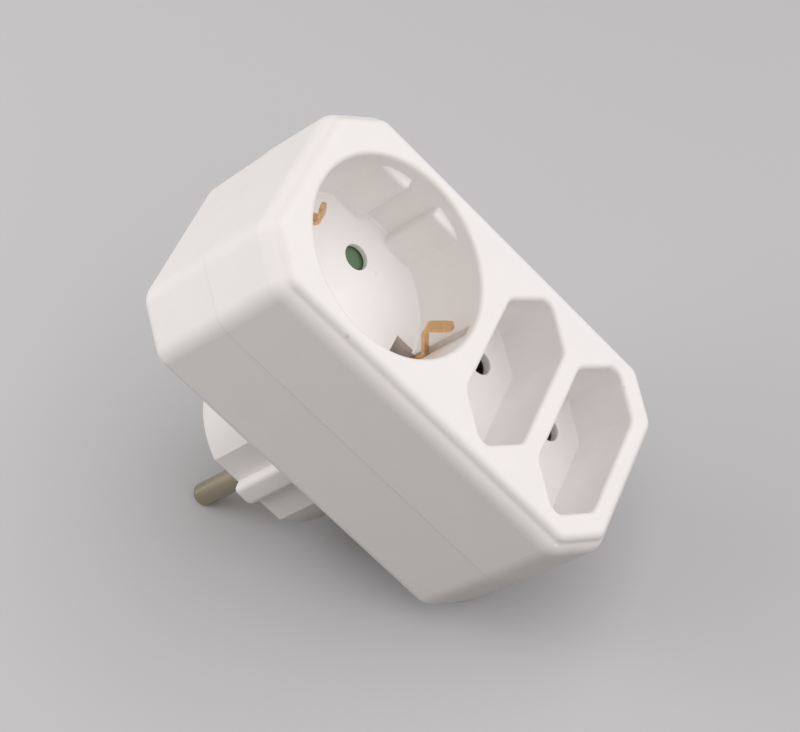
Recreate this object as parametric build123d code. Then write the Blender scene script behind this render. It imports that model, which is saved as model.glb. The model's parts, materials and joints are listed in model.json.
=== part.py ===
from build123d import *
import math
import os

# A mains adapter that plugs into a wall socket and offers one earthed round socket and two flat sockets.
# The frame is the one it has on a wall: +Z up, +Y into the wall along the pins, the sockets facing -Y.
# The origin is the middle of the plug's nose, between the two pins. All sizes are in millimetres.

# Housing, two shells that meet at a seam
side_margin = 5.15
top_margin = 5.5
bottom_margin = 6.2
front_depth = 19.6
rear_depth = 20.5
corner_cut = 9.0
edge_radius = 5.0
least_radius = 0.5
wall = 2.2
fuse_overlap = 0.2
front_draft = 0.7
rear_draft = 1.2
rear_radius = 2.6
seam_step = 0.12

# Stepped face of the front shell: a plateau that stands in the shell's rounded shoulder
shoulder_drop = 0.88
shoulder_radius = 3.8
plateau_inset = 2.3
plateau_depth = 2.6
step_slope = 20.0
step_root_radius = 1.5
step_crown_radius = 1.8

# Round earthed socket
round_height = 20.2
well_radius = 19.6
well_depth = 18.0
cup_wall = 1.7
rim_radius = 1.0
floor_radius = 0.5
floor_thickness = 3.0
guide_face = 16.7
guide_drop = 3.2
guide_gap = 6.6
guide_corner_radius = 1.2
guide_top_radius = 1.0
pin_pitch = 19.0
round_hole_radius = 2.6
hole_rim_radius = 0.3
slot_width = 4.5
slot_inner = 14.8
groove_width = 3.0
groove_room = 0.5
groove_drop = 2.0
chimney_wall = 1.2
chimney_length = 2.8

# Flat sockets
socket_gap = 4.35
flat_width = 15.0
flat_straight = 24.2
flat_tip_angle = 45.0
flat_depth = 15.0
flat_floor = 2.0
flat_tip_radius = 2.5
flat_corner_radius = 3.0
flat_hole_radius = 2.4

# Plug and pins
plug_length = 19.4
plug_radius = 18.6
plug_flat = 16.3
rib_width = 5.0
rib_edge_radius = 1.2
nose_radius = 1.0
nose_plate = 5.0
plug_bore = 14.2
pin_radius = 2.4
pin_length = 19.0
pin_tip_radius = 0.9
pin_shank_radius = 2.7
pin_collar_radius = 3.4
pin_collar = 1.6
pin_tail_radius = 2.0
pin_rivet_radius = 1.5
pin_rivet_head = 0.7

# Safety shutter under the round socket's floor
shutter_skin = 1.2
shutter_thickness = 1.6
shutter_lift = 0.5
shutter_lobe_radius = 3.3
shutter_arm = 4.4
shutter_hub_radius = 4.0
pivot_radius = 2.0
pivot_clearance = 0.05
pocket_margin = 0.6
spring_wire = 0.5
spring_turns = 2
spring_radius = 2.9
spring_leg = 3.0
spring_gap = 0.35
retainer_radius = 3.4
retainer_thickness = 0.6
pivot_stub = 0.3

# Live and neutral metal
strip = 0.8
busbar_width = 6.0
busbar_lead = 1.0
contact_sheet = 0.7
contact_length = 7.5
contact_flare = 3.3
contact_reach = 3.1
round_contact_gap = 2.2
flat_contact_gap = 1.85
rivet_radius = 1.0
rivet_head_radius = 1.7
rivet_head = 0.6
rivet_room = 0.3
tab_width = 7.0
tab_depth = 34.0
tab_margin = 3.5

# Earth metal
clip_sheet = 0.7
clip_width = 2.5
clip_base_width = 3.9
clip_base_drop = 0.2
clip_setback = 0.6
upper_clip_bend = (13.5, 8.0)
upper_clip_tip = (16.0, 4.7)
lower_clip_bend = (14.8, 8.8)
lower_clip_tip = (17.5, 3.7)
clip_root_depth = 14.6
clip_foot = 14.0
clip_bend_radius = 1.5
clip_tip_radius = 1.1
bridge_gap = 1.55
bridge_width = 6.0
earth_face = 16.2
earth_width = 5.0
earth_recess = 6.0
earth_setback = 1.5
earth_foot = 5.2

# Screws and supports
screw_upper_side = 7.55
screw_top_margin = 9.9
screw_radius = 1.45
screw_bite = 9.0
screw_head_radius = 2.3
screw_head = 1.9
screw_slot = 0.7
screw_slot_length = 3.0
counterbore = 8.0
boss_radius = 3.3
boss_gap = 0.2
post_thickness = 2.4
post_width = 2.0
clearance = 0.05
slot_clearance = 0.15

# How near two places count as the same
tolerance = 0.001

# Derived places, as depths behind the face
seam_depth = front_depth
back_depth = front_depth + rear_depth
nose_depth = back_depth + plug_length
face_y = -nose_depth
face_inner = plateau_depth + wall
cup_top = wall - fuse_overlap
plateau_foot = plateau_inset - plateau_depth * math.tan(math.radians(step_slope))
back_inner = back_depth - wall
pin_x = pin_pitch / 2
flat_upper = round_height - well_radius - socket_gap - flat_width / 2
flat_centres = (flat_upper, flat_upper - flat_width - socket_gap)
half_width = well_radius + side_margin
upper_end = round_height + well_radius + top_margin
lower_end = flat_centres[1] - flat_width / 2 - bottom_margin
body_length = upper_end - lower_end
body_middle = (upper_end + lower_end) / 2
cup_depth = well_depth + floor_thickness
chimney_depth = cup_depth + chimney_length
clip_stem = well_radius + clip_setback
groove_reach = clip_stem + groove_room
shutter_top = well_depth + shutter_skin + shutter_lift
shutter_bottom = shutter_top + shutter_thickness
spring_height = spring_turns * spring_wire
spring_top = shutter_bottom + spring_gap
retainer_top = spring_top + spring_height + spring_wire + spring_gap
pivot_end = retainer_top + retainer_thickness + pivot_stub
bridge_depth = pivot_end + bridge_gap
web_x = pin_x + pin_radius + rivet_room + rivet_head
busbar_x = web_x + contact_sheet
busbar_top = bridge_depth - busbar_lead
contact_top = busbar_top - (contact_length - busbar_width) / 2
busbar_bottom = busbar_top + busbar_width
screw_upper = (half_width - screw_upper_side, upper_end - screw_top_margin)
screw_lower = (busbar_x + strip + rivet_head + boss_gap + boss_radius, sum(flat_centres) / 2)
screw_places = [(side * x, z) for x, z in (screw_upper, screw_lower) for side in (1, -1)]


def station(depth):
    """A plane parallel to the face at a depth behind it, looking out of the sockets."""
    return Plane.XZ.offset(-(face_y + depth))


def prism(sketch, top, bottom):
    """The sketch drawn parallel to the face, filled from one depth to a greater one."""
    return extrude(station(bottom) * sketch, amount=bottom - top)


def box(low, high, top, bottom):
    """A block between two corners (x, z) of the face plane and two depths."""
    middle = ((low[0] + high[0]) / 2, (low[1] + high[1]) / 2)
    return prism(Pos(*middle) * Rectangle(high[0] - low[0], high[1] - low[1]), top, bottom)


def rod(x, z, radius, top, bottom):
    """A round bar square to the face."""
    return prism(Pos(x, z) * Circle(radius), top, bottom)


def crossbar(z, depth, radius, start, end):
    """A round bar along X, at a height and a depth, between two x places."""
    plane = Plane.YZ.offset(start)
    return extrude(plane * Pos(face_y + depth, z) * Circle(radius), amount=end - start)


def outline(inset):
    """The housing's eight-sided outline, moved inwards all round."""
    plain = Rectangle(2 * (half_width - inset), body_length - 2 * inset)
    cut = corner_cut - inset * (2 - math.sqrt(2))
    octagon = chamfer(plain.vertices(), length=cut)
    rounded = fillet(octagon.vertices(), radius=max(edge_radius - inset, least_radius))
    return Pos(0, body_middle) * rounded


def back_station(depth):
    """A plane parallel to the face that looks towards the wall."""
    return Plane(origin=(0, face_y + depth, 0), x_dir=(-1, 0, 0), z_dir=(0, 1, 0))


def matching(solid, wanted):
    """The solid's edges that have the same middles as the wanted ones."""
    middles = [edge.center() for edge in wanted]
    return [e for e in solid.edges() if any((e.center() - m).length < tolerance for m in middles)]


def joining(solid, parts):
    """The edges that came about where the solid's parts were joined."""
    kept = [edge for part in parts for edge in matching(solid, part.edges())]
    return [e for e in solid.edges() if not any((e.center() - k.center()).length < tolerance for k in kept)]


def at_depth(solid, depth):
    """The solid's edges that lie in one plane parallel to the face."""
    level = face_y + depth
    return solid.edges().filter_by_position(Axis.Y, level - tolerance, level + tolerance)


def make_guides():
    """The four blocks that guide a plug's flats: a pair on each side, with a channel between them."""
    backing = Circle(well_radius + cup_wall / 2)
    blocks = []
    for side in (1, -1):
        for end in (1, -1):
            middle = (side * (guide_face + well_radius / 2), end * (guide_gap + well_radius) / 2)
            plan = backing & Pos(*middle) * Rectangle(well_radius, well_radius)
            block = prism(Pos(0, round_height) * plan, guide_drop, well_depth)
            upright = block.edges().filter_by(Axis.Y).sort_by(lambda edge: plan_radius(edge.center()))[0]
            block = fillet(upright, guide_corner_radius)
            top = at_depth(block, guide_drop)
            blocks.append(fillet([e for e in top if plan_radius(e.center()) < well_radius], guide_top_radius))
    return blocks


def plan_radius(point):
    """How far a point lies from the round socket's axis."""
    return math.hypot(point.X, point.Z - round_height)


def flat_outline(grow):
    """The flat well's six-sided outline, with tips at 45 degrees, grown all round."""
    half = flat_width / 2 + grow
    straight = flat_straight / 2 + grow * math.tan(math.radians(flat_tip_angle / 2))
    tip = straight + half / math.tan(math.radians(flat_tip_angle))
    corners = [(tip, 0), (straight, half), (-straight, half)]
    plain = make_face(Polyline(*corners, *[(-x, -z) for x, z in corners], close=True))
    tips = [v for v in plain.vertices() if abs(v.Y) < tolerance]
    rounded = fillet(tips, radius=flat_tip_radius)
    shoulders = [v for v in rounded.vertices() if abs(abs(v.Y) - half) < tolerance]
    return fillet(shoulders, radius=flat_corner_radius)


def round_cup(grow, top, bottom):
    """The outside of the round well with its two clip housings, grown all round."""
    half = slot_width / 2 + cup_wall + grow
    reach = groove_reach + cup_wall + grow
    low = (-half, round_height - reach)
    return rod(0, round_height, well_radius + cup_wall + grow, top, bottom) + box(
        low, (half, round_height + reach), top, bottom
    )


def clip_chimney(side, grow):
    """The walls that lead an earth clip's slot on past the round well's floor, grown all round."""
    half = slot_width / 2 + chimney_wall + grow
    inner = slot_inner - chimney_wall - grow
    outer = groove_reach + cup_wall + grow
    low, high = sorted((round_height + side * inner, round_height + side * outer))
    return box((-half, low), (half, high), cup_depth, chimney_depth + grow)


def well_tools():
    """The three wells as solids to cut away, each with a rounded floor edge."""
    well = rod(0, round_height, well_radius, 0, well_depth)
    tools = [fillet(at_depth(well, well_depth), floor_radius)]
    for centre in flat_centres:
        flat = prism(Pos(0, centre) * flat_outline(0), 0, flat_depth)
        tools.append(fillet(at_depth(flat, flat_depth), floor_radius))
    return tools


def pin_hole(x, z, radius, top, bottom):
    """A pin hole as a solid to cut away, with a rounded edge where a pin comes in."""
    level = face_y + top + hole_rim_radius
    edge = rod(x, z, radius + hole_rim_radius, top, top + hole_rim_radius)
    ring = Torus(radius + hole_rim_radius, hole_rim_radius)
    return rod(x, z, radius, top, bottom) + (edge - Plane(origin=(x, level, z), z_dir=(0, 1, 0)) * ring)


def make_front_cover():
    block = extrude(station(seam_depth) * outline(0), amount=front_depth - shoulder_drop, taper=front_draft)
    block = fillet(at_depth(block, shoulder_drop), shoulder_radius)
    plateau = extrude(station(plateau_depth) * outline(plateau_foot), amount=plateau_depth, taper=step_slope)
    cover = block + plateau
    cover = fillet(joining(cover, (block, plateau)), step_root_radius)
    cover = fillet(at_depth(cover, 0), step_crown_radius)

    cavity = extrude(station(seam_depth) * outline(wall), amount=seam_depth - face_inner, taper=front_draft)
    cover -= cavity
    hollow = outline(plateau_foot + wall)
    cover -= extrude(station(face_inner) * hollow, amount=plateau_depth, taper=step_slope)
    cover += round_cup(0, cup_top, cup_depth)
    for centre in flat_centres:
        cover += prism(Pos(0, centre) * flat_outline(cup_wall), cup_top, flat_depth + flat_floor)
    for x, z in screw_places:
        cover += rod(x, z, boss_radius, cup_top, seam_depth)

    for tool in well_tools():
        rim = at_depth(tool, 0)
        cover -= tool
        cover = fillet(matching(cover, rim), rim_radius)
    for guide in make_guides():
        cover += guide

    for side in (1, -1):
        cover += clip_chimney(side, 0)
        low, high = sorted((round_height + side * slot_inner, round_height + side * groove_reach))
        cover -= box((-groove_width / 2, low), (groove_width / 2, high), groove_drop, well_depth)
        cover -= box((-slot_width / 2, low), (slot_width / 2, high), well_depth, chimney_depth)
    pocket_radius = pin_x + shutter_lobe_radius + pocket_margin
    cover -= rod(0, round_height, pocket_radius, well_depth + shutter_skin, cup_depth)
    cover += rod(0, round_height, pivot_radius, well_depth + shutter_skin, pivot_end)
    for side in (1, -1):
        cover -= pin_hole(side * pin_x, round_height, round_hole_radius, well_depth, cup_depth)
        for centre in flat_centres:
            cover -= pin_hole(side * pin_x, centre, flat_hole_radius, flat_depth, flat_depth + flat_floor)
    for x, z in screw_places:
        cover -= rod(x, z, screw_radius + clearance, seam_depth - screw_bite, seam_depth)
    return cover


def plug_section():
    """The plug's round section with two flats, each with a rib along its middle."""
    core = Circle(plug_radius) & Rectangle(2 * plug_flat, 2 * plug_radius)
    ribs = Circle(plug_radius) & Rectangle(2 * plug_radius, rib_width)
    return core + fillet(ribs.vertices(), radius=rib_edge_radius)


def make_rear_housing():
    shell = extrude(back_station(seam_depth) * outline(seam_step), amount=rear_depth, taper=rear_draft)
    shell = fillet(at_depth(shell, back_depth), rear_radius)
    plug = prism(plug_section(), back_inner, nose_depth)
    plug = fillet(at_depth(plug, nose_depth), nose_radius)
    cavity = extrude(back_station(seam_depth) * outline(wall), amount=rear_depth - wall, taper=rear_draft)
    shell = shell - cavity + plug
    shell -= rod(0, 0, plug_bore, back_inner, nose_depth - nose_plate)
    for x, z in screw_places:
        shell += rod(x, z, boss_radius, seam_depth, back_inner)
        shell -= rod(x, z, screw_radius + clearance, seam_depth, back_depth)
        shell -= rod(x, z, screw_head_radius + slot_clearance, back_depth - counterbore, back_depth)
    shell -= round_cup(slot_clearance, seam_depth, cup_depth + slot_clearance)
    for side in (1, -1):
        shell -= clip_chimney(side, slot_clearance)
        shell -= rod(side * pin_x, 0, pin_shank_radius + clearance, nose_depth - nose_plate, nose_depth)
        floor, rim = sorted((side * (earth_face - strip), side * plug_radius))
        half = earth_recess / 2
        shell -= box((-half, floor), (half, rim), back_depth, nose_depth)
        low, high = sorted((side * (earth_face - strip), side * (earth_face + slot_clearance)))
        half = earth_width / 2 + slot_clearance
        shell -= box((-half, low), (half, high), back_inner, back_depth)
        for z in post_heights():
            low_x, high_x = sorted((side * busbar_x, side * (busbar_x + post_width)))
            low, high = (low_x, z - post_thickness / 2), (high_x, z + post_thickness / 2)
            shell += box(low, high, busbar_bottom, back_inner)
    bridge_post = round_height + slot_inner - post_thickness
    low = (-post_width, bridge_post - post_thickness)
    shell += box(low, (post_width, bridge_post), bridge_depth + strip, back_inner)
    return shell


def busbar_ends():
    """The busbar's lowest and highest places, past its outer contacts."""
    margin = contact_flare + strip
    return flat_centres[1] - margin, round_height + margin


def post_heights():
    """Where the rear shell's posts carry the busbars: near both ends and below the plug."""
    low, high = busbar_ends()
    return low + post_thickness, -plug_bore - post_thickness, high - post_thickness


def make_pin(side):
    x = side * pin_x
    tab_bottom = tab_depth + strip
    root = nose_depth - nose_plate
    pin = rod(x, 0, pin_radius, nose_depth, nose_depth + pin_length)
    pin = fillet(at_depth(pin, nose_depth + pin_length), pin_tip_radius)
    pin += rod(x, 0, pin_shank_radius, root, nose_depth)
    pin += rod(x, 0, pin_collar_radius, root - pin_collar, root)
    pin += rod(x, 0, pin_tail_radius, tab_bottom, root - pin_collar)
    pin += rod(x, 0, pin_rivet_radius, tab_depth - pin_rivet_head, tab_bottom)
    return pin + rod(x, 0, pin_tail_radius + pin_rivet_head, tab_depth - pin_rivet_head, tab_depth)


def contact_places():
    """Name, height and half gap of the contact behind each pin hole of one side."""
    return (
        ("round", round_height, round_contact_gap),
        ("upper_flat", flat_centres[0], flat_contact_gap),
        ("lower_flat", flat_centres[1], flat_contact_gap),
    )


def mirrored(solid, side):
    """The solid itself on the +X side, or its mirror image on the -X side."""
    return solid if side > 0 else mirror(solid, about=Plane.YZ)


def make_busbar(side):
    low, high = busbar_ends()
    bar = box((busbar_x, low), (busbar_x + strip, high), busbar_top, busbar_bottom)
    half = tab_width / 2
    bar += box((busbar_x, -half), (busbar_x + strip, half), busbar_bottom, tab_depth + strip)
    bar += box((pin_x - tab_margin, -half), (busbar_x + strip, half), tab_depth, tab_depth + strip)
    bar -= rod(pin_x, 0, pin_rivet_radius, tab_depth, tab_depth + strip)
    for name, height, gap in contact_places():
        depth = (busbar_top + busbar_bottom) / 2
        bar -= crossbar(height, depth, rivet_radius, busbar_x, busbar_x + strip)
    return mirrored(bar, side)


def make_contact(side, height, gap):
    """A fork bent from sheet: a web on the busbar and two leaves that grip the pin."""
    web = web_x + contact_sheet / 2
    leaf = gap + contact_sheet / 2
    grip = pin_radius / 2
    half = (
        (pin_x - contact_reach, contact_flare),
        (pin_x - grip, leaf),
        (pin_x + grip, leaf),
        (web, contact_reach),
    )
    path = Polyline(*half, *[(x, -z) for x, z in reversed(half)])
    fork = prism(Pos(0, height) * trace(path, contact_sheet), contact_top, contact_top + contact_length)
    depth = (busbar_top + busbar_bottom) / 2
    fork -= crossbar(height, depth, rivet_radius, web_x - contact_sheet, busbar_x)
    return mirrored(fork, side)


def make_contact_rivets():
    depth = (busbar_top + busbar_bottom) / 2
    outer = busbar_x + strip
    rivets = []
    for side in (1, -1):
        for name, height, gap in contact_places():
            rivet = crossbar(height, depth, rivet_radius, web_x, outer)
            rivet += crossbar(height, depth, rivet_head_radius, web_x - rivet_head, web_x)
            rivet += crossbar(height, depth, rivet_head_radius, outer, outer + rivet_head)
            rivets.append(mirrored(rivet, side))
    return Compound(children=rivets)


def make_earth_clip(side, bend, tip):
    """A spring strip on a wider base that stands in the floor slot, leans in and bends back to the wall."""
    foot_depth = bridge_depth - clip_sheet / 2
    base_bends = (clip_foot, foot_depth), (clip_stem, foot_depth)
    base = clip_strip(side, (*base_bends, (clip_stem, well_depth + clip_base_drop)), clip_base_width)
    clip = clip_strip(side, (*base_bends, (clip_stem, clip_root_depth), bend, tip), clip_width)
    tip = Vector(0, face_y + tip[1], round_height + side * tip[0])
    across = [e for e in clip.edges() if abs(e.length - clip_sheet) < tolerance]
    clip = fillet([e for e in across if (e.center() - tip).length < clip_width], clip_tip_radius)
    hole = round_height + side * clip_rivet()
    return clip + base - rod(0, hole, rivet_radius, bridge_depth - clip_sheet, bridge_depth)


def clip_strip(side, bends, width):
    """A strip bent through places given by their distance from the round socket's axis and their depth."""
    points = [(face_y + depth, round_height + side * reach) for reach, depth in bends]
    path = FilletPolyline(*points, radius=clip_bend_radius)
    return extrude(Plane.YZ * trace(path, clip_sheet), amount=width / 2, both=True)


def clip_rivet():
    """How far from the round socket's axis each earth clip is riveted."""
    return (clip_foot + clip_stem) / 2


def plug_rivet():
    """How far from the plug's axis each plug earth strip is riveted."""
    return earth_face - strip - earth_foot / 2


def make_earth_bridge():
    high = round_height + clip_stem
    low = -earth_face
    half = bridge_width / 2
    bridge = box((-half, low), (half, high), bridge_depth, bridge_depth + strip)
    for z in earth_rivet_heights():
        bridge -= rod(0, z, rivet_radius, bridge_depth, bridge_depth + strip)
    return bridge


def earth_rivet_heights():
    clips = [round_height + side * clip_rivet() for side in (1, -1)]
    return clips + [side * plug_rivet() for side in (1, -1)]


def make_plug_earth(side):
    """The earth strip on one side of the plug, bent over under the earth bridge."""
    under = bridge_depth + strip
    half = earth_width / 2
    low, high = sorted((side * (earth_face - strip), side * earth_face))
    leg = box((-half, low), (half, high), under, nose_depth - earth_setback)
    low, high = sorted((side * (earth_face - strip - earth_foot), side * earth_face))
    leg += box((-half, low), (half, high), under, under + strip)
    return leg - rod(0, side * plug_rivet(), rivet_radius, under, under + strip)


def make_earth_rivets():
    rivets = []
    for z in earth_rivet_heights():
        on_clip = abs(abs(z - round_height) - clip_rivet()) < tolerance
        top = bridge_depth - clip_sheet if on_clip else bridge_depth
        bottom = bridge_depth + strip if on_clip else bridge_depth + 2 * strip
        rivet = rod(0, z, rivet_radius, top, bottom)
        rivet += rod(0, z, rivet_head_radius, top - rivet_head, top)
        rivets.append(rivet + rod(0, z, rivet_head_radius, bottom, bottom + rivet_head))
    return Compound(children=rivets)


def make_shutter():
    """A rotor with a round lobe under each pin hole."""
    plan = Circle(shutter_hub_radius) + Rectangle(pin_pitch, shutter_arm)
    for side in (1, -1):
        plan += Pos(side * pin_x, 0) * Circle(shutter_lobe_radius)
    plan -= Circle(pivot_radius + pivot_clearance)
    return prism(Pos(0, round_height) * plan, shutter_top, shutter_bottom)


def make_shutter_spring():
    """A torsion spring of round wire about the pivot, with a straight leg at each end."""
    coil = Helix(pitch=spring_wire, height=spring_height, radius=spring_radius)
    start = coil.position_at(0)
    end = coil.position_at(1)
    first = Line(start - coil.tangent_at(0) * spring_leg, start)
    last = Line(end, end + coil.tangent_at(1) * spring_leg)
    path = Wire([first, *coil.edges(), last])
    section = Plane(origin=path.position_at(0), z_dir=path.tangent_at(0)) * Circle(spring_wire / 2)
    wire = sweep(section, path=path)
    lift = spring_top + spring_height + spring_wire / 2
    return station(lift) * Pos(0, round_height, 0) * wire


def make_shutter_retainer():
    ring = rod(0, round_height, retainer_radius, retainer_top, retainer_top + retainer_thickness)
    return ring - rod(0, round_height, pivot_radius, retainer_top, retainer_top + retainer_thickness)


def make_housing_screws():
    """Pan screws, their heads in the rear shell's counterbores and their points in the front bosses."""
    seat = back_depth - counterbore
    slot = (screw_slot_length / 2, screw_slot / 2)
    screws = []
    for x, z in screw_places:
        screw = rod(x, z, screw_radius, seam_depth - screw_bite, seat)
        screw += rod(x, z, screw_head_radius, seat, seat + screw_head)
        for half_x, half_z in (slot, slot[::-1]):
            low, high = (x - half_x, z - half_z), (x + half_x, z + half_z)
            screw -= box(low, high, seat + screw_head / 2, seat + screw_head)
        screws.append(screw)
    return Compound(children=screws)


nodes = {
    "front_cover": make_front_cover(),
    "rear_housing": make_rear_housing(),
    "contact_rivets": make_contact_rivets(),
    "upper_earth_clip": make_earth_clip(1, upper_clip_bend, upper_clip_tip),
    "lower_earth_clip": make_earth_clip(-1, lower_clip_bend, lower_clip_tip),
    "earth_bridge": make_earth_bridge(),
    "upper_plug_earth": make_plug_earth(1),
    "lower_plug_earth": make_plug_earth(-1),
    "earth_rivets": make_earth_rivets(),
    "shutter": make_shutter(),
    "shutter_spring": make_shutter_spring(),
    "shutter_retainer": make_shutter_retainer(),
    "housing_screws": make_housing_screws(),
}
for pole, side in (("line", 1), ("neutral", -1)):
    nodes[f"{pole}_pin"] = make_pin(side)
    nodes[f"{pole}_busbar"] = make_busbar(side)
    for name, height, gap in contact_places():
        nodes[f"{name}_{pole}_contact"] = make_contact(side, height, gap)

os.makedirs("parts", exist_ok=True)
for name, solid in nodes.items():
    export_step(solid, f"parts/{name}.step")
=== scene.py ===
import json

import bpy
from mathutils import Matrix, Vector


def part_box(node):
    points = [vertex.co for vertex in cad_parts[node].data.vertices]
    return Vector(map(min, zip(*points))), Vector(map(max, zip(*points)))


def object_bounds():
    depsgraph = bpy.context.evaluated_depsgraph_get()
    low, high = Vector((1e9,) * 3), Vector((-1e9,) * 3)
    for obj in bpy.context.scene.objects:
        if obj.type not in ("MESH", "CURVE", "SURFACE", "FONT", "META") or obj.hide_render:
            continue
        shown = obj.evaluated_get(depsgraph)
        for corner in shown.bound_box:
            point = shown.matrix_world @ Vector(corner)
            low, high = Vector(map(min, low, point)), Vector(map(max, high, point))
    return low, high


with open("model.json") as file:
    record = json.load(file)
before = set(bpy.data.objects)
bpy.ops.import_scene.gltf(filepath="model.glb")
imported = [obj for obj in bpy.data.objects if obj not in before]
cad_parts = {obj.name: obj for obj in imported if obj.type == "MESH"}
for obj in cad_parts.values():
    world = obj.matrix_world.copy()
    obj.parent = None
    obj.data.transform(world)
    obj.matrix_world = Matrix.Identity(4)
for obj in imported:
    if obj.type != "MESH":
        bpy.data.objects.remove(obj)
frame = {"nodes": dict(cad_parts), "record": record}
cad_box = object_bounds()

# The photograph's camera, solved from the plug's and wells' standard sizes, in metres of the frame
CAMERA_PLACE = Vector((-0.31885, -0.37788, 0.15689))
CAMERA_FORWARD = Vector((0.6490, 0.6911, -0.3181))
CAMERA_UP = Vector((0.6762, -0.3325, 0.6574))
CAMERA_LENS = 118.12
CAMERA_SENSOR = 36.0

# The adapter lies on the tips of its pins and the lower rear edge of its housing
FLOOR_NORMAL = Vector((0, -0.7286, 0.6850)).normalized()
FLOOR_DROP = 0.0149
FLOOR_HALF = 2.0
FLOOR_FADE_START = 0.35
FLOOR_FADE_END = 1.1
FLOOR_ROUGHNESS = 0.9
FLOOR_SPECULAR = 0.1

# The floor as it is seen, the darker floor that throws light back on the object, and the background
FLOOR_SEEN = (0.55, 0.555, 0.57, 1)
FLOOR_BOUNCE = (0.14, 0.14, 0.14, 1)
BACKGROUND_SEEN = (0.62, 0.62, 0.62, 1)

# The light that the photograph's shades give: a dome, one softbox before the face and one past its upper end
SOFTBOX_COLOUR = (0.96, 0.955, 1.0)
FACE_LIGHT = Vector((0.08, -1, 0.06))
FACE_DISTANCE = 0.9
FACE_SIZE = 2.0
FACE_POWER = 13.3
END_LIGHT = Vector((-0.30, 0.33, 0.89))
END_DISTANCE = 0.4
END_SIZE = 0.36
END_POWER = 0.9
DOME_COLOUR = (1.0, 0.905, 0.805, 1)
DOME_STRENGTH = 0.385

# Every finish has a fine grain, in waves per metre, and a mottle that is so many times as coarse
PLASTIC_GRAIN = 1400
METAL_GRAIN = 900
GRAIN_DETAIL = 3
GRAIN_DEPTH = 0.00002
MOTTLE_COARSENESS = 8
MOTTLE_DETAIL = 4
EVEN = (1, 1, 1)
DRAWN_ALONG_PIN = (1, 0.1, 1)

# The middle of a noise that counts, and how far the grain takes the roughness down and up
NOISE_LOW = 0.35
NOISE_HIGH = 0.65
ROUGHNESS_DOWN = 0.05
ROUGHNESS_UP = 0.06

# Marks on the white shells: place, the axes that it is bound to, radius, strength and colour
SPOT = (1, 1, 1)
ALL_ROUND = (0, 1, 0)
BROWN = (0.34, 0.25, 0.22)
# A dust grey, which also colours the painted shade line along the seam
DUST_AND_SEAM_SHADE = (0.45, 0.42, 0.40)
SEAM = (0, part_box("rear_housing")[0].y, 0)
WHITE_MARKS = (
    ((-0.0228, -0.0587, 0.0215), SPOT, 0.0006, 0.45, BROWN),
    ((0.0098, -0.0415, 0.0151), SPOT, 0.0004, 0.3, DUST_AND_SEAM_SHADE),
    ((0.0169, -0.0592, -0.0335), SPOT, 0.0005, 0.3, DUST_AND_SEAM_SHADE),
    # A painted shade line, partly dust, all round the shells where they meet
    (SEAM, ALL_ROUND, 0.0003, 0.16, DUST_AND_SEAM_SHADE),
)


def new_material(name):
    material = bpy.data.materials.new(name)
    material.use_nodes = True
    return material, material.node_tree.nodes, material.node_tree.links


def object_noise(tree_nodes, links, scale, detail, stretch):
    """Noise on the piece's own coordinates, which may be drawn out along an axis."""
    coordinates = tree_nodes.new("ShaderNodeTexCoord")
    mapping = tree_nodes.new("ShaderNodeMapping")
    mapping.inputs["Scale"].default_value = stretch
    noise = tree_nodes.new("ShaderNodeTexNoise")
    noise.inputs["Scale"].default_value = scale
    noise.inputs["Detail"].default_value = detail
    links.new(coordinates.outputs["Object"], mapping.inputs["Vector"])
    links.new(mapping.outputs["Vector"], noise.inputs["Vector"])
    return noise.outputs["Fac"]


def spread_noise(tree_nodes, links, noise, low, high):
    """Spreads a noise's middle over a range of values."""
    spread = tree_nodes.new("ShaderNodeMapRange")
    spread.inputs["From Min"].default_value = NOISE_LOW
    spread.inputs["From Max"].default_value = NOISE_HIGH
    spread.inputs["To Min"].default_value = low
    spread.inputs["To Max"].default_value = high
    links.new(noise, spread.inputs["Value"])
    return spread.outputs["Result"]


def mottled_colour(tree_nodes, links, share, first, second):
    """Mixes two colours by a share that varies over the piece."""
    mix = tree_nodes.new("ShaderNodeMix")
    mix.data_type = "RGBA"
    mix.inputs["A"].default_value = (*first, 1)
    mix.inputs["B"].default_value = (*second, 1)
    links.new(share, mix.inputs["Factor"])
    return mix.outputs["Result"]


def marked_colour(tree_nodes, links, colour, marks):
    """Lays soft marks over a colour, each about a place on the piece along the axes that it is bound to."""
    coordinates = tree_nodes.new("ShaderNodeTexCoord")
    for place, axes, radius, strength, mark in marks:
        bound = tree_nodes.new("ShaderNodeMapping")
        bound.inputs["Scale"].default_value = axes
        links.new(coordinates.outputs["Object"], bound.inputs["Vector"])
        distance = tree_nodes.new("ShaderNodeVectorMath")
        distance.operation = "DISTANCE"
        distance.inputs[1].default_value = place
        links.new(bound.outputs["Vector"], distance.inputs[0])
        fade = tree_nodes.new("ShaderNodeMapRange")
        fade.inputs["From Max"].default_value = radius
        fade.inputs["To Min"].default_value = strength
        fade.inputs["To Max"].default_value = 0
        links.new(distance.outputs["Value"], fade.inputs["Value"])
        mix = tree_nodes.new("ShaderNodeMix")
        mix.data_type = "RGBA"
        mix.inputs["B"].default_value = (*mark, 1)
        links.new(fade.outputs["Result"], mix.inputs["Factor"])
        links.new(colour, mix.inputs["A"])
        colour = mix.outputs["Result"]
    return colour


def fine_bump(tree_nodes, links, noise, strength):
    bump = tree_nodes.new("ShaderNodeBump")
    bump.inputs["Strength"].default_value = strength
    bump.inputs["Distance"].default_value = GRAIN_DEPTH
    links.new(noise, bump.inputs["Height"])
    return bump.outputs["Normal"]


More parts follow.
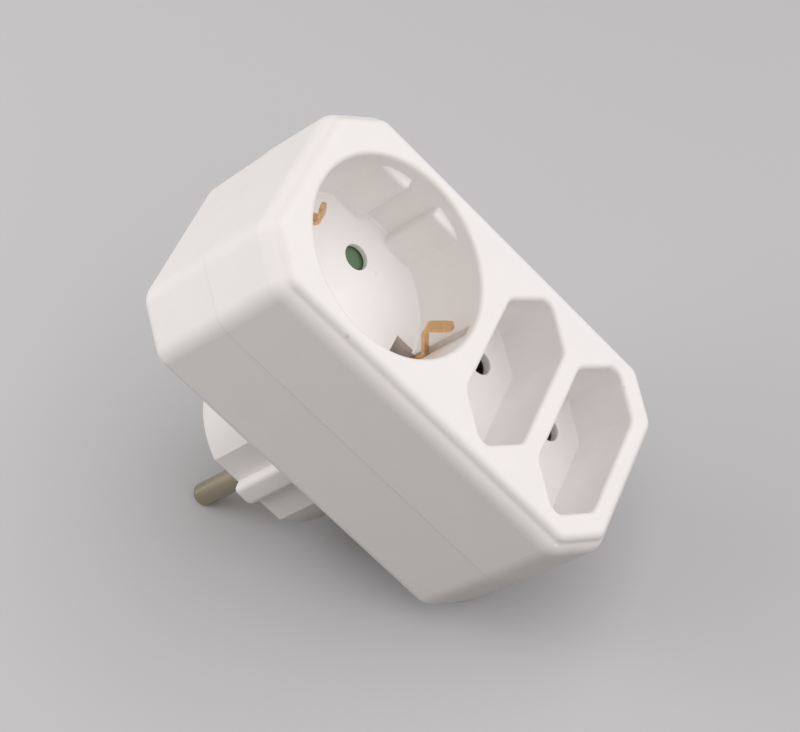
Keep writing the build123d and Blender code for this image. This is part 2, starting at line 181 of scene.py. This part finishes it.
def finish_material(
    name,
    first,
    second,
    metallic,
    rough,
    grain,
    stretch=EVEN,
    bump=0.1,
    specular=0.5,
    marks=(),
):
    """A finish with a mottled colour, an uneven gloss, a fine grain and any marks."""
    material, tree_nodes, links = new_material(name)
    shader = tree_nodes["Principled BSDF"]
    shader.inputs["Metallic"].default_value = metallic
    shader.inputs["Specular IOR Level"].default_value = specular
    mottle_noise = object_noise(tree_nodes, links, grain / MOTTLE_COARSENESS, MOTTLE_DETAIL, stretch)
    grain_noise = object_noise(tree_nodes, links, grain, GRAIN_DETAIL, stretch)
    share = spread_noise(tree_nodes, links, mottle_noise, 0, 1)
    colour = mottled_colour(tree_nodes, links, share, first, second)
    links.new(marked_colour(tree_nodes, links, colour, marks), shader.inputs["Base Color"])
    gloss = spread_noise(tree_nodes, links, grain_noise, rough - ROUGHNESS_DOWN, rough + ROUGHNESS_UP)
    links.new(gloss, shader.inputs["Roughness"])
    links.new(fine_bump(tree_nodes, links, grain_noise, bump), shader.inputs["Normal"])
    return material


def satin_white_plastic():
    """The two shells, with a few dust marks and a painted shade line, partly dust, along their seam."""
    return finish_material(
        "satin_white_plastic",
        first=(0.88, 0.86, 0.842),
        second=(0.892, 0.873, 0.855),
        metallic=0,
        rough=0.46,
        grain=PLASTIC_GRAIN,
        bump=0.06,
        specular=0.35,
        marks=WHITE_MARKS,
    )


def green_shutter_plastic():
    """The shutter behind the pin holes of the round well."""
    return finish_material(
        "green_shutter_plastic",
        first=(0.110, 0.20, 0.112),
        second=(0.124, 0.216, 0.124),
        metallic=0,
        rough=0.45,
        grain=PLASTIC_GRAIN,
    )


def dull_nickel():
    """The plug's pins and earth strips, with a grain drawn along them."""
    return finish_material(
        "dull_nickel",
        first=(0.47, 0.415, 0.295),
        second=(0.38, 0.33, 0.23),
        metallic=1,
        rough=0.16,
        grain=METAL_GRAIN,
        stretch=DRAWN_ALONG_PIN,
        bump=0.03,
    )


def copper_strip():
    """The earth clips of the round well."""
    return finish_material(
        "copper_strip",
        first=(0.87, 0.565, 0.30),
        second=(0.80, 0.505, 0.26),
        metallic=1,
        rough=0.30,
        grain=METAL_GRAIN,
        bump=0.03,
    )


def rolled_brass():
    """The inner contacts, busbars, rivets and earth bridge."""
    return finish_material(
        "rolled_brass",
        first=(0.72, 0.55, 0.24),
        second=(0.66, 0.49, 0.21),
        metallic=1,
        rough=0.32,
        grain=METAL_GRAIN,
    )


def zinc_steel():
    """The housing's screws, and the shutter's spring and ring."""
    return finish_material(
        "zinc_steel",
        first=(0.52, 0.52, 0.52),
        second=(0.46, 0.46, 0.47),
        metallic=1,
        rough=0.34,
        grain=METAL_GRAIN,
    )


def finish_pieces():
    """Gives every piece the finish of its material slot in the record."""
    finishes = {
        "white_plastic": satin_white_plastic(),
        "plated_pin": dull_nickel(),
        "copper_alloy": copper_strip(),
        "brass": rolled_brass(),
        "green_plastic": green_shutter_plastic(),
        "steel": zinc_steel(),
    }
    for entry in frame["record"]["subparts"]:
        mesh = frame["nodes"][entry["node"]].data
        mesh.materials.clear()
        mesh.materials.append(finishes[entry["material_slot"]])


def seen_rays(tree_nodes, links):
    """One for what the camera sees, straight or in metal, and nought for the light on the object."""
    rays = tree_nodes.new("ShaderNodeLightPath")
    either = rays.outputs["Is Camera Ray"]
    for name in ("Is Glossy Ray", "Is Transmission Ray"):
        larger = tree_nodes.new("ShaderNodeMath")
        larger.operation = "MAXIMUM"
        links.new(either, larger.inputs[0])
        links.new(rays.outputs[name], larger.inputs[1])
        either = larger.outputs["Value"]
    return either


def floor_gone(tree_nodes, links):
    """One where the floor is clear, which is far off and from below, and nought where it shows."""
    coordinates = tree_nodes.new("ShaderNodeTexCoord")
    distance = tree_nodes.new("ShaderNodeVectorMath")
    distance.operation = "LENGTH"
    links.new(coordinates.outputs["Object"], distance.inputs[0])
    fade = tree_nodes.new("ShaderNodeMapRange")
    fade.interpolation_type = "SMOOTHSTEP"
    fade.inputs["From Min"].default_value = FLOOR_FADE_START
    fade.inputs["From Max"].default_value = FLOOR_FADE_END
    links.new(distance.outputs["Value"], fade.inputs["Value"])
    side = tree_nodes.new("ShaderNodeNewGeometry")
    gone = tree_nodes.new("ShaderNodeMath")
    gone.operation = "MAXIMUM"
    links.new(fade.outputs["Result"], gone.inputs[0])
    links.new(side.outputs["Backfacing"], gone.inputs[1])
    return gone.outputs["Value"]


def pale_floor_material():
    """A dull pale floor that fades out far off and is clear from below."""
    material, tree_nodes, links = new_material("pale_floor")
    shader = tree_nodes["Principled BSDF"]
    shader.inputs["Roughness"].default_value = FLOOR_ROUGHNESS
    shader.inputs["Specular IOR Level"].default_value = FLOOR_SPECULAR
    mix = tree_nodes.new("ShaderNodeMix")
    mix.data_type = "RGBA"
    mix.inputs["A"].default_value = FLOOR_BOUNCE
    mix.inputs["B"].default_value = FLOOR_SEEN
    links.new(seen_rays(tree_nodes, links), mix.inputs["Factor"])
    links.new(mix.outputs["Result"], shader.inputs["Base Color"])
    clear = tree_nodes.new("ShaderNodeBsdfTransparent")
    choose = tree_nodes.new("ShaderNodeMixShader")
    links.new(floor_gone(tree_nodes, links), choose.inputs["Fac"])
    links.new(shader.outputs["BSDF"], choose.inputs[1])
    links.new(clear.outputs["BSDF"], choose.inputs[2])
    links.new(choose.outputs["Shader"], tree_nodes["Material Output"].inputs["Surface"])
    return material


def make_floor():
    """A flat floor, square to its normal."""
    bpy.ops.mesh.primitive_plane_add(size=2 * FLOOR_HALF)
    floor = bpy.context.object
    floor.name = "floor"
    floor.rotation_mode = "QUATERNION"
    floor.rotation_quaternion = FLOOR_NORMAL.to_track_quat("Z", "Y")
    floor.location = -FLOOR_DROP * FLOOR_NORMAL
    floor.data.materials.append(pale_floor_material())


def make_world():
    """A warm dome that lights the object, before a plain pale background."""
    world = bpy.data.worlds.new("studio")
    world.use_nodes = True
    bpy.context.scene.world = world
    tree_nodes, links = world.node_tree.nodes, world.node_tree.links
    dome = tree_nodes["Background"]
    dome.inputs["Color"].default_value = DOME_COLOUR
    dome.inputs["Strength"].default_value = DOME_STRENGTH
    seen = tree_nodes.new("ShaderNodeBackground")
    seen.inputs["Color"].default_value = BACKGROUND_SEEN
    choose = tree_nodes.new("ShaderNodeMixShader")
    links.new(seen_rays(tree_nodes, links), choose.inputs["Fac"])
    links.new(dome.outputs["Background"], choose.inputs[1])
    links.new(seen.outputs["Background"], choose.inputs[2])
    links.new(choose.outputs["Shader"], tree_nodes["World Output"].inputs["Surface"])


def make_softbox(name, direction, distance, size, power):
    """A square lamp that shines on the middle of the object from a direction."""
    lamp = bpy.data.lights.new(name, "AREA")
    lamp.color = SOFTBOX_COLOUR
    lamp.shape = "SQUARE"
    lamp.size = size
    lamp.energy = power
    softbox = bpy.data.objects.new(name, lamp)
    middle = (cad_box[0] + cad_box[1]) / 2
    softbox.location = middle + distance * direction.normalized()
    softbox.rotation_mode = "QUATERNION"
    softbox.rotation_quaternion = (-direction).to_track_quat("-Z", "Y")
    bpy.context.scene.collection.objects.link(softbox)


def make_camera():
    """A camera that stands and looks as the photograph's did."""
    data = bpy.data.cameras.new("photo_camera")
    data.sensor_width = CAMERA_SENSOR
    data.lens = CAMERA_LENS
    camera = bpy.data.objects.new("photo_camera", data)
    forward = CAMERA_FORWARD.normalized()
    right = forward.cross(CAMERA_UP).normalized()
    up = right.cross(forward)
    turn = Matrix((right, up, -forward)).transposed()
    camera.matrix_world = Matrix.Translation(CAMERA_PLACE) @ turn.to_4x4()
    bpy.context.scene.collection.objects.link(camera)
    bpy.context.scene.camera = camera


finish_pieces()
make_camera()
make_floor()
make_world()
make_softbox("face_softbox", FACE_LIGHT, FACE_DISTANCE, FACE_SIZE, FACE_POWER)
make_softbox("end_softbox", END_LIGHT, END_DISTANCE, END_SIZE, END_POWER)
bpy.context.scene.view_settings.view_transform = "Standard"
